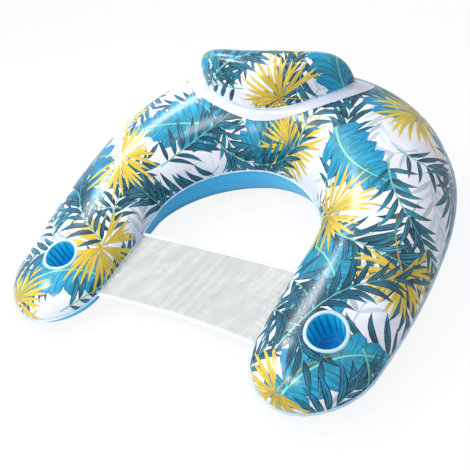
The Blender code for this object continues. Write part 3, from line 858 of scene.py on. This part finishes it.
def tip_seams(count):
    """The outer and the inner seam's points in plan round the right tip, from the arm's end to the nose."""
    ahead = np.sin(np.linspace(0, math.pi / 2, count))
    middle = tip_middle(end_centre, ahead)
    out = end_side * (end_half_width * tip_size(ahead))[:, None]
    return middle + out, middle - out


def chamber_outline(count):
    """The seam's outline in plan, anticlockwise from above, from the right tip's nose round its outer side."""
    outer, inner = body_seams(np.interp(np.linspace(0, end_run, count), runs, places))
    tip_outer, tip_inner = tip_seams(count // 3)
    right_outer = np.vstack((tip_outer[::-1], outer[-2::-1]))
    right_inner = np.vstack((inner, tip_inner[1:-1]))
    return np.vstack((right_outer, right_outer[::-1][1:] * mirror, right_inner[::-1][:-1] * mirror, right_inner))


def chamber_tiles():
    """The chamber's print sheet cut into tiles at sections, from the left tip round to the right one."""
    cuts = (0, 0.2, 0.4, 0.6, 0.8, 1.0, 1.33, 1.66, 2.0)
    right = []
    for first, last in zip(cuts, cuts[1:]):
        outer, inner = body_seams(np.linspace(first, last, 24))
        right.append((first, last, np.vstack((outer[::-1], inner))))
    outer, inner = tip_seams(70)
    right.append((2.0, 3.1, np.vstack((outer[::-1], inner[:-1]))))
    return right + [(-last, -first, outline[::-1] * mirror) for first, last, outline in right]


def to_sheet(plan):
    """The print sheet's places that lie over plan points."""
    place, share, ahead = lie(plan)
    centre, side, half_width, height_share = body_sections(place)
    reach = from_crest(share, ahead)
    found = np.empty(len(plan))
    for i in range(len(plan)):
        cosines = np.cos(section_angle(share_grid, np.full(len(share_grid), height_share[i])))
        found[i] = np.interp(reach[i], cosines, share_grid)
    grow = found / np.maximum(reach, 1e-9)
    flat = tip_middle(centre, ahead * grow) + side * (half_width * share * grow)[:, None]
    flat[:, 0] *= sign_of(plan)
    return flat


# Leaves placed one by one: metres along the crest, metres out over the film, and facing
broad_places = (
    (-1.06, -0.05, 2.2), (-0.66, 0.10, 0.5), (-0.36, -0.12, 2.6), (-0.02, -0.12, 1.2),
    (0.24, 0.10, 2.9), (0.44, -0.04, 0.5), (0.80, -0.10, 0.9), (1.06, 0.09, 2.4),
)
fan_places = (
    (-1.13, 0.06), (-0.90, -0.12), (-0.60, -0.02), (-0.45, 0.16), (-0.14, 0.02),
    (0.16, -0.19), (0.34, 0.17), (0.60, -0.14), (0.76, 0.12), (1.14, -0.02),
)
sprig_places = (
    ("feather", -0.98, 0.13, 1.9), ("dark", -0.78, -0.04, 0.8), ("broad", -0.40, 0.26, 0.4),
    ("dark", -0.22, 0.25, 0.1), ("feather", 0.10, 0.28, 2.9), ("broad", 0.36, 0.27, 2.7),
    ("dark", 0.52, 0.25, 0.2), ("feather", -0.55, 0.21, 0.4), ("dark", -0.28, -0.20, 0.3),
    ("feather", -0.02, -0.23, 0.1), ("dark", 0.98, -0.14, 1.2), ("dark", 0.24, -0.02, 1.4),
    ("feather", 0.60, 0.10, 0.7), ("dark", 0.90, 0.03, 2.5), ("feather", 1.12, 0.16, 0.3),
)


def ring_print():
    """The leaves of the main chamber: dark fronds below, broad leaves and bright fronds, then yellow fans."""
    art = []
    far = end_run + tip_length * 1.15
    back_half, back_reach, arm_reach = 0.8, 0.27, 0.19

    def lay(kind, run, across, facing):
        art.extend(laid(seeded_leaf(kind), sheet_point(run, across), sheet_axes(run), facing))

    def strew(kind, gap, low, high):
        run, flip = -far, 1
        while run < far:
            wide = back_reach if abs(run) < back_half else arm_reach
            lay(kind, run, flip * chance.uniform(low, high) * wide, chance.uniform(0, math.tau))
            run += gap * chance.uniform(0.75, 1.2)
            flip = -flip

    strew("ghost", 0.13, 0.1, 0.8)
    strew("dark", 0.14, 0.35, 1.0)
    for place in broad_places:
        lay("broad", *place)
    strew("feather", 0.20, 0.2, 1.0)
    for place in fan_places:
        lay("fan", *place, 0)
    for sprig in sprig_places:
        lay(*sprig)
    return art


cup_share = -cup_y / arm_length
arm_middle = (outer_half_width - outer_draw_in * cup_share**2 + inner_half_width - inner_draw_in * cup_share**2) / 2
cup_centres = {"left": np.array((cup_shift - arm_middle, cup_y)), "right": np.array((cup_shift + arm_middle, cup_y))}
holes = [to_sheet(centre + (cup_hole_radius + 0.004) * all_round(72)[1]) for centre in cup_centres.values()]
top_skin = printed_piece("ring_print", on_top, chamber_tiles(), ring_print(), 0.0085, stations, holes)
stand_for(top_skin, "ring_top_skin")


def make_underside():
    """The lower film, pressed flat where it lies on the floor, with small folds along its seams."""
    steps, ribs = 96, 72
    ahead = np.concatenate((np.sin(np.linspace(0, math.pi / 2, steps // 3)[:0:-1]), np.zeros(steps)))
    place = np.concatenate(
        (np.full(len(ahead) - steps, 2.0), np.interp(np.linspace(end_run, 0, steps), runs, places))
    )
    size = tip_size(ahead)
    centre, side, half_width, height_share = body_sections(place)
    middle = tip_middle(centre, ahead)
    run = np.interp(place, places, runs) + 0.17 * np.arcsin(ahead)
    bend = np.clip(np.clip(1.35 - place, 0, 1) + ahead, 0.1, 1)
    angle = np.linspace(0, math.pi, ribs + 1)
    across, down = np.cos(angle), np.sin(angle)
    reach = 1 - np.minimum(angle, math.pi - angle) / (math.pi / 2)
    half, deep = (half_width * size)[:, None], (half_width * height_share * size)[:, None]
    plan = middle[:, None] + side[:, None] * (half * across)[..., None]
    z = seam_rise(middle[:, 1:]) - weld_lift - deep * down
    flat = side[:, None] * (across / np.maximum(half, 1e-4))[..., None]
    outward = unit(np.dstack((flat, -down / np.maximum(deep, 1e-4))))
    halves = []
    for sign in (1, -1):
        fold = puckers(sign * run[:, None], reach, across < 0, bend[:, None]) * np.minimum(size * 3, 1)[:, None]
        halves.append((np.dstack((plan, z)) + outward * fold[..., None]) * (sign, 1, 1))
    rows = np.concatenate((halves[0], halves[1][-2::-1]))
    world = to_world(rows.reshape(-1, 3))
    low = world[:, 2]
    floor, fillet = 0.0008, 0.0032
    pressed = floor + fillet * np.exp(np.minimum(low - floor - fillet, 0) / fillet)
    world[:, 2] = np.where(low < floor + fillet, pressed, low)
    made = smooth_piece("ring_underside", seated(to_chair(world)), grid_faces(len(rows), ribs + 1), under_film)
    stand_for(made, "ring_bottom_skin")


def make_weld_lip():
    """The flat weld round the chamber, a little wavy at its free edge."""
    loop = chamber_outline(300)
    step = np.roll(loop, -1, 0) - np.roll(loop, 1, 0)
    outward = unit(np.column_stack((step[:, 1], -step[:, 0])))
    run = path_runs(loop)
    wave = 0.0007 * np.sin(run * 2 * math.pi / lip_wave + 2 * np.sin(run * 9))
    rise = seam_rise(np.minimum(loop[:, 1], outer_depth))
    profile = ((-0.001, 0.0008, 0), (0.5, 0.0006, 0.5), (1, 0.0005, 1))
    profile += tuple((out, -up, sway) for out, up, sway in profile[::-1])
    loops = []
    for out, up, sway in profile:
        loops.append(np.column_stack((loop + outward * lip_width * out, rise + up + wave * sway)))
    band("ring_weld_lip", loops, weld_film)


make_underside()
make_weld_lip()


# Headrest
def pillow_place(x, y):
    turn = Matrix.Rotation(pillow_turn, 2)
    return np.stack((turn[0][0] * x + turn[0][1] * y + pillow_shift, turn[1][0] * x + turn[1][1] * y + pillow_y), -1)


def pillow_edges(share, depths=pillow_depths):
    """How far behind its long axis the headrest's outline lies, in front, below 0, and in the rear."""
    share = np.minimum(np.abs(share), 1)
    edges = [d * np.maximum(1 - share**power, 0) ** (1 / power) for d, power in zip(depths, pillow_edge_powers)]
    return -edges[0], edges[1]


def pillow_point(x_share, y_share):
    """A point of the headrest's printed film; shares run from end to end and from front, -1, to rear, 1."""
    front, rear = pillow_edges(x_share)
    plan = pillow_place(x_share * pillow_half_length, (front + rear) / 2 + (rear - front) / 2 * y_share)
    ends = np.maximum(1 - np.abs(x_share) ** pillow_end_power, 0)
    sides = np.maximum(1 - np.abs(y_share) ** pillow_depth_power, 0)
    z = chamber_height(plan.reshape(-1, 2)).reshape(x_share.shape) + pillow_lift
    return np.concatenate((plan, (z + pillow_height * np.sqrt(ends * sides))[..., None]), -1)


# The headrest's print sheet: metres along its crest, and metres over it from the front seam to the rear one
crest_shares = eased(601)
crest_runs = path_runs(pillow_point(crest_shares, np.zeros(601)))
crest_runs -= crest_runs[-1] / 2
crest_end = crest_runs[-1]
over_shares, over_steps = eased(121), 201
sheet_runs = eased(181) * crest_end
profiles = pillow_point(*np.meshgrid(np.interp(sheet_runs, crest_runs, crest_shares), over_shares, indexing="ij"))
arcs = np.array([path_runs(profile) for profile in profiles])
half_arcs = np.maximum(arcs[:, -1] / 2, 1e-5)
over_table = np.array([np.interp(np.linspace(0, arc[-1], over_steps), arc, over_shares) for arc in arcs])


def on_pillow(sheet):
    """Points of the headrest's film over its print sheet, with small folds along its seam."""
    run = np.clip(sheet[:, 0], -crest_end, crest_end)
    row = np.interp(run, sheet_runs, np.arange(float(len(sheet_runs))))
    half = np.interp(run, sheet_runs, half_arcs)
    across = np.clip(sheet[:, 1] / half, -1, 1)
    y_share = table_value(over_table, row, (across + 1) * (over_steps // 2))
    points = pillow_point(np.interp(run, crest_runs, crest_shares), y_share)
    near = (1 - np.abs(across)) / 0.16
    fold = (0.5 + 0.5 * np.sin(run * 2 * math.pi / 0.026 + 2 * np.sin(run * 23) + (across > 0) * 2)) ** 1.6
    points[:, 2] -= 0.0022 * fold * near * np.exp(1 - near) * np.clip(half / 0.05, 0, 1)
    points[:, 1] += 0.0010 * np.sin(run * 31 + across * 3) * (1 - across**2)
    return seated(points)


def pillow_print():
    """The leaves of the headrest, laid by metres along its crest and over it."""
    art, axes = [], np.eye(2)
    for kind, gap, reach in (("ghost", 0.16, 0.06), ("dark", 0.12, 0.12), ("feather", 0.15, 0.12)):
        run, flip = -crest_end, 1
        while run < crest_end:
            place = np.array((run, flip * chance.uniform(0.2, 1) * reach - 0.02))
            art += laid(seeded_leaf(kind), place, axes, chance.uniform(0, math.tau))
            run += gap * chance.uniform(0.8, 1.2)
            flip = -flip
    for kind, run, over, facing in (
        ("broad", 0.20, -0.03, 2.0), ("broad", -0.10, 0.07, 0.4), ("fan", -0.27, -0.02, 0),
        ("fan", 0.06, -0.12, 0), ("fan", 0.05, 0.13, 0), ("feather", -0.04, -0.02, 0.5),
    ):
        art += laid(seeded_leaf(kind), np.array((run, over)), axes, facing)
    return art


def pillow_tiles():
    """The headrest's print sheet cut into four tiles across its length."""
    cuts, steps = np.linspace(-1, 1, 5) * math.pi / 2, 24
    tiles = []
    for first, last in zip(cuts, cuts[1:]):
        along = np.sin(np.linspace(first, last, steps)) * crest_end
        half = np.where(np.abs(along) > crest_end - 1e-6, 0, np.interp(along, sheet_runs, half_arcs))
        outline = np.vstack((np.column_stack((along, -half)), np.column_stack((along, half))[::-1]))
        keep = np.ones(len(outline), bool)
        keep[-1], keep[steps] = half[0] > 0, half[-1] > 0
        tiles.append((along[0], along[-1], outline[keep]))
    return tiles


headrest = printed_piece("pillow_print", on_pillow, pillow_tiles(), pillow_print(), 0.0075, lambda sheet: sheet[:, 0])
stand_for(headrest, "pillow_top_skin")


def pillow_loop(half_length, depths):
    """An outline round the headrest in plan, clockwise from above, from its left end."""
    shares = eased(97)[1:-1]
    front, rear = (np.column_stack((shares * half_length, edge)) for edge in pillow_edges(shares, depths))
    loop = np.vstack(((-half_length, 0), rear, (half_length, 0), front[::-1]))
    return pillow_place(loop[:, 0], loop[:, 1])


def offset_loop(loop, distance):
    step = unit(np.roll(loop, -1, 0) - np.roll(loop, 1, 0))
    return loop + step[:, ::-1] * mirror * distance


def on_film(plan, up):
    """Points at a height over the chamber's smooth upper film."""
    return np.column_stack((plan, chamber_height(plan) + up))


pillow_seam = pillow_loop(pillow_half_length, pillow_depths)


def make_margin():
    """The white sheet that joins the headrest to the chamber, slack between its two welds."""
    inner, outer = offset_loop(pillow_seam, 0.0035), pillow_loop(margin_half_length, margin_depths)
    turns, _ = all_round(len(inner))
    ripple = 0.0004 * np.sin(turns * 37 + 3 * np.sin(turns * 5))
    loops = []
    for share in np.linspace(0, 1, 13):
        slack = (0.0016 + ripple) * math.sin(math.pi * share)
        loops.append(on_film(inner * (1 - share) + outer * share, 0.0016 + slack))
    made = band("pillow_flange", loops, margin_film, flip=False)
    stand_for(made, "pillow_margin")


def make_pillow_base():
    """The headrest's lower film, which shows only as the edge of its weld."""
    profile = ((-0.002, 0.0030), (0.0015, 0.0030), (0.0032, 0.0026), (0.0032, 0.0014), (-0.002, 0.0012))
    loops = [on_film(offset_loop(pillow_seam, out), up) for out, up in profile]
    loops.append(on_film(pillow_seam + (pillow_seam.mean(0) - pillow_seam) * 0.9, 0.0012))
    stand_for(band("pillow_weld", loops, weld_film, flip=False), "pillow_bottom_skin")


make_margin()
make_pillow_base()


# Cup holders
def make_cup(label, centre):
    """A cup holder's weld ring, pleated liner and floor disc."""
    count, levels = 192, 33
    turns, ray = all_round(count)
    near_hole = ((0.0002, -0.0022), (0, -0.0004), (0.0006, 0.0012), (0.0018, 0.0019))
    near_edge = ((-0.0022, 0.0016), (-0.0006, 0.0010), (0, 0.0001), (-0.0002, -0.0012))
    loops = []
    for base, profile in ((cup_hole_radius, near_hole), (cup_ring_radius, near_edge)):
        loops += [on_film(centre + ray * (base + out), up) for out, up in profile]
    stand_for(band(f"cup_weld_{label}", loops, weld_film), f"cup_ring_{label}")

    rim = chamber_height(centre + ray * cup_liner_radius)
    floor_top = chamber_height(centre[None])[0] - cup_depth
    loops, painted_pleat_shade = [], []
    for level in np.linspace(0, 1, levels):
        swell = math.sin(math.pi * level * 1.15) ** 0.7 if level * 1.15 < 1 else 0
        depth = 0.0058 * (0.35 + 0.65 * np.sin(turns * 3 + 1) ** 2) * swell
        pleat = (0.5 - 0.5 * np.cos(pleat_count * turns + 0.5 * np.sin(turns * 5) + 1.1 * level)) ** 0.45
        # The liner's map: how far out of a pleat's crease, which sets its painted shade, and how far down.
        painted_pleat_shade.append(np.column_stack((1 - (1 - pleat) * swell**0.5, np.full(count, level))))
        taper = (cup_floor_radius - cup_liner_radius) * level**1.3
        radius = cup_liner_radius - 0.0012 + taper - depth * pleat
        z = (rim - 0.0016) * (1 - level) + floor_top * level
        loops.append(np.column_stack((centre + ray * radius[:, None], z)))
    wall = band(f"cup_liner_{label}", loops, liner_film, uv=np.vstack(painted_pleat_shade))
    stand_for(wall, f"cup_wall_{label}")

    # The floor disc has no map, so its liner colour is all the darker painted crease shade.
    dish = ((0.004, 0.0004), (0.35, 0.0006), (0.7, 0.0004), (0.84, 0.0002))
    bead = ((0.88, 0.0010), (0.94, 0.0010), (0.985, 0.0002), (1.0, -0.0002))
    loops = []
    for share, up in dish + bead:
        plan = centre + ray * (share * cup_floor_radius)
        wrinkle = 0.0004 * np.sin(turns * 9 + 2) * share * (share < 0.85)
        loops.append(np.column_stack((plan, floor_top + up + wrinkle)))
    stand_for(band(f"cup_disc_{label}", loops, liner_film), f"cup_floor_{label}")


for label, centre in cup_centres.items():
    make_cup(label, centre)


# Net seat
def net_y(along):
    return -(seat_rear + (seat_front - seat_rear) * along)


def net_edge(side, y):
    return side * (arm_inner(-y / arm_length) - lip_width - 0.0003)


def net_plain(across, along):
    """A point of the smooth net: across runs from its left to its right edge, along from its rear to its front."""
    y = net_y(along)
    left, right = net_edge(-1, y), net_edge(1, y)
    swell = 4 * across * (1 - across)
    bow = seat_rear_bow + (seat_front_bow - seat_rear_bow) * along
    return np.stack((left + (right - left) * across, y + swell * bow, seam_rise(y) - swell * seat_sag), -1)


def net_point(across, along):
    """A point of the net with the soft slanting creases of slack cloth, and with small gathers at the arms."""
    points = net_plain(across, along)
    x, y = points[..., 0], points[..., 1]
    slant = x * 1.35 - y * 0.6
    wave = np.sin(slant * 52 + 2.1 * np.sin(x * 13 + y * 8)) * (0.55 + 0.45 * np.sin(x * 19 - y * 23 + 1))
    wave = wave + 0.45 * np.sin(slant * 118 + 3 * np.sin(x * 21) + y * 30)
    held = np.minimum(across, 1 - across) * 2
    slack = np.clip(held / 0.12, 0, 1) * np.clip(np.minimum(along, 1 - along) / 0.08, 0.15, 1)
    gather = 0.0014 * np.sin(along * 62 + 2 * np.sin(along * 17)) * np.exp(-held / 0.10) * np.clip(held / 0.02, 0, 1)
    points[..., 2] += 0.0016 * wave * slack + gather
    return points


def make_net():
    columns, rows = 181, 91
    along, across = np.meshgrid(np.linspace(0.03, 0.97, rows), np.linspace(0, 1, columns), indexing="ij")
    points = net_point(across, along).reshape(-1, 3)
    return smooth_piece("seat_net", points, grid_faces(rows, columns, flip=True), cloth, points[:, :2])


def taped(name, rows, run, flip):
    """A tape through rows of points, with its map in metres: run along it, and up to its width over it."""
    width = 0.02
    uv = np.column_stack((np.tile(run, len(rows)), np.repeat(np.linspace(0, width, len(rows)), len(run))))
    return smooth_piece(name, np.vstack(rows), grid_faces(len(rows), len(run), flip=flip), tape, uv)


def make_net_hem(name, along, inward):
    """A tape folded round a free edge of the net, a little puckered by its seam."""
    across = np.linspace(0, 1, 181)
    pucker = 0.0004 * np.sin(across * 210 + 2 * np.sin(across * 31))
    over = ((0.0098, 0.0007), (0.006, 0.0010), (0.001, 0.0009))
    rows = []
    for back, up in (*over, (-0.0002, 0), *((back, -up) for back, up in over[::-1])):
        row = net_point(across, np.full(len(across), along + inward * back / (seat_front - seat_rear)))
        row[:, 2] += up + pucker * (up > 0)
        rows.append(row)
    return taped(name, rows, across * 0.51, inward > 0)


def make_net_strip(name, side):
    """A strip under an end of the net, from the arm's weld lip inward."""
    along = np.linspace(0.045, 0.955, 61)
    y = net_y(along)
    on_lip = ((lip_width * 0.9, -0.0013), (lip_width * 0.5, -0.0014), (0, -0.0013))
    rows = []
    for out, up in (*on_lip, (-0.004, -0.0012), (-0.008, -0.0012), (-0.009, -0.0009)):
        share = np.clip(-out / (net_edge(1, y) - net_edge(-1, y)), 0, 1)
        net = net_point(share if side < 0 else 1 - share, along)
        z = np.where(out > 0, seam_rise(y), net[:, 2]) + up
        rows.append(np.column_stack((net_edge(side, y) + side * out, y if out >= 0 else net[:, 1], z)))
    return taped(name, rows, along * 0.25, side > 0)


net = make_net()
stand_for(net, "seat_mesh")
trims = {
    "seat_rear_hem": make_net_hem("rear_hem", 0, 1),
    "seat_front_hem": make_net_hem("front_hem", 1, -1),
    "seat_strip_left": make_net_strip("left_strip", -1),
    "seat_strip_right": make_net_strip("right_strip", 1),
}
for node, made in trims.items():
    stand_for(made, node)


# Valves
def make_strap_bend(label, seat, axis):
    """The bend of a plug's strap: a round bead at the end of its stem's tab, along the line it turns on."""
    stem = node_points(f"{label}_valve_stem") - seat
    out = stem - np.outer(stem @ axis, axis)
    reach = unit(out[np.linalg.norm(out, axis=1) > 0.96 * tab_reach].mean(0))
    across = np.cross(axis, reach)
    middle = seat + reach * (tab_reach + 0.00015) + axis * bend_height
    count = 16
    ring = all_round(count)[1] @ np.array((reach, axis))
    profile = ((-1, 0.7), (-0.9, 1), (0.9, 1), (1, 0.7))
    loops = [middle + across * (place * tab_width / 2) + ring * (share * bend_radius) for place, share in profile]
    faces = grid_faces(len(loops), count, True) + [tuple(range(count))[::-1], tuple(range(3 * count, 4 * count))]
    points = to_chair(np.vstack(loops))
    made = smooth_piece(f"{label}_strap_bend", points, faces, valve_plastic, body=f"{label}_stem")


for label, (seat, axis) in zip(valves, valve_seats):
    make_strap_bend(label, seat, axis)
    for part in ("flange", "stem", "plug", "flap"):
        piece = bpy.data.objects[f"{label}_valve_{part}"]
        piece.data.materials.clear()
        piece.data.materials.append(valve_plastic)
        rounding = piece.modifiers.new("rounding", "BEVEL")
        rounding.width, rounding.segments = 0.0002, 2
        rounding.limit_method, rounding.angle_limit = "ANGLE", math.radians(40)


# Floor, light and camera
def make_floor():
    """A wide pale floor that looks nearly white to the camera alone, with a little of its own shading left."""
    half, white_share = 30, 0.9
    mesh = bpy.data.meshes.new("floor")
    corners = [(-half, -half, 0), (half, -half, 0), (half, half, 0), (-half, half, 0)]
    mesh.from_pydata(corners, [], [(0, 1, 2, 3)])
    m = Nodes("floor")
    m.colour(m.mix(m.tone(3), (0.90, 0.90, 0.91), (0.93, 0.93, 0.94)))
    mesh.materials.append(m.settle(0.8))
    share = m.maths("MULTIPLY", m.add("LightPath").outputs["Is Camera Ray"], white_share)
    glow = m.add("Emission", {"Color": (1, 1, 1), "Strength": 1.0})
    seen = m.add("MixShader", {0: share, 1: m.shader.outputs[0], 2: glow.outputs[0]})
    m.feed(m.tree.nodes["Material Output"].inputs["Surface"], seen.outputs[0])
    new_object("floor", mesh)


def make_world():
    """An even pale sky that looks white in itself, and lights the chair a little less."""
    sky_light = 0.455
    world = bpy.data.worlds.new("studio")
    bpy.context.scene.world = world
    m = Nodes("studio", world)
    m.feed(m.shader.inputs["Color"], (1, 1, 1))
    rays = m.add("LightPath").outputs
    seen = m.most(rays["Is Camera Ray"], rays["Is Glossy Ray"], rays["Is Transmission Ray"])
    m.feed(m.shader.inputs["Strength"], m.maths("MULTIPLY_ADD", seen, 1 - sky_light, sky_light))


def make_softbox(name, azimuth, height, size, power):
    """A rectangular lamp, turned to the chair from a compass direction and a height in degrees."""
    reach, target = 3.0, Vector((0, 0, 0.2))
    light = bpy.data.lights.new(name, "AREA")
    light.shape = "RECTANGLE"
    light.size, light.size_y = size
    light.energy = power
    made = new_object(name, light)
    way = direction(math.radians(90 - azimuth)) * math.cos(math.radians(height))
    made.location = (*(way * reach), math.sin(math.radians(height)) * reach)
    made.rotation_euler = (target - made.location).to_track_quat("-Z", "Y").to_euler()
    made.visible_camera = False


def make_camera():
    """The photograph's camera, found from the seams' outlines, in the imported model's frame."""
    turn, rise, roll = math.radians(45.7193), math.radians(46.9918), math.radians(-23.8567)
    target, distance, focal_pixels, photo_width = np.array((0.0136, -0.0289, 0)), 1.8764, 658.5625, 470
    back = np.array((math.sin(turn) * math.cos(rise), -math.cos(turn) * math.cos(rise), math.sin(rise)))
    right = np.array((math.cos(turn), math.sin(turn), 0))
    up = np.cross(back, right)
    right, up = right * math.cos(roll) + up * math.sin(roll), up * math.cos(roll) - right * math.sin(roll)
    place = to_world(target + back * distance)
    axes = tipping @ np.column_stack((right, up, back))
    data = bpy.data.cameras.new("camera")
    data.sensor_width = 36
    data.lens = focal_pixels / photo_width * 36
    data.shift_x, data.shift_y = 0.00382, 0.00412
    data.clip_start, data.clip_end = 0.05, 100
    made = new_object("camera", data)
    made.matrix_world = Matrix.Translation(place.tolist()) @ Matrix(axes.tolist()).to_4x4()
    bpy.context.scene.camera = made


make_floor()
make_world()
make_camera()
make_softbox("left", -75, 55, (0.75, 0.50), 29)
make_softbox("front left", -119, 53, (0.42, 0.38), 27)
make_softbox("front", -168, 56, (0.90, 0.46), 24)
make_softbox("low front", -156, 26, (0.55, 0.70), 13)
make_softbox("right", 60, 62, (1.6, 1.2), 5)

scene = bpy.context.scene
scene.view_settings.view_transform = "Standard"
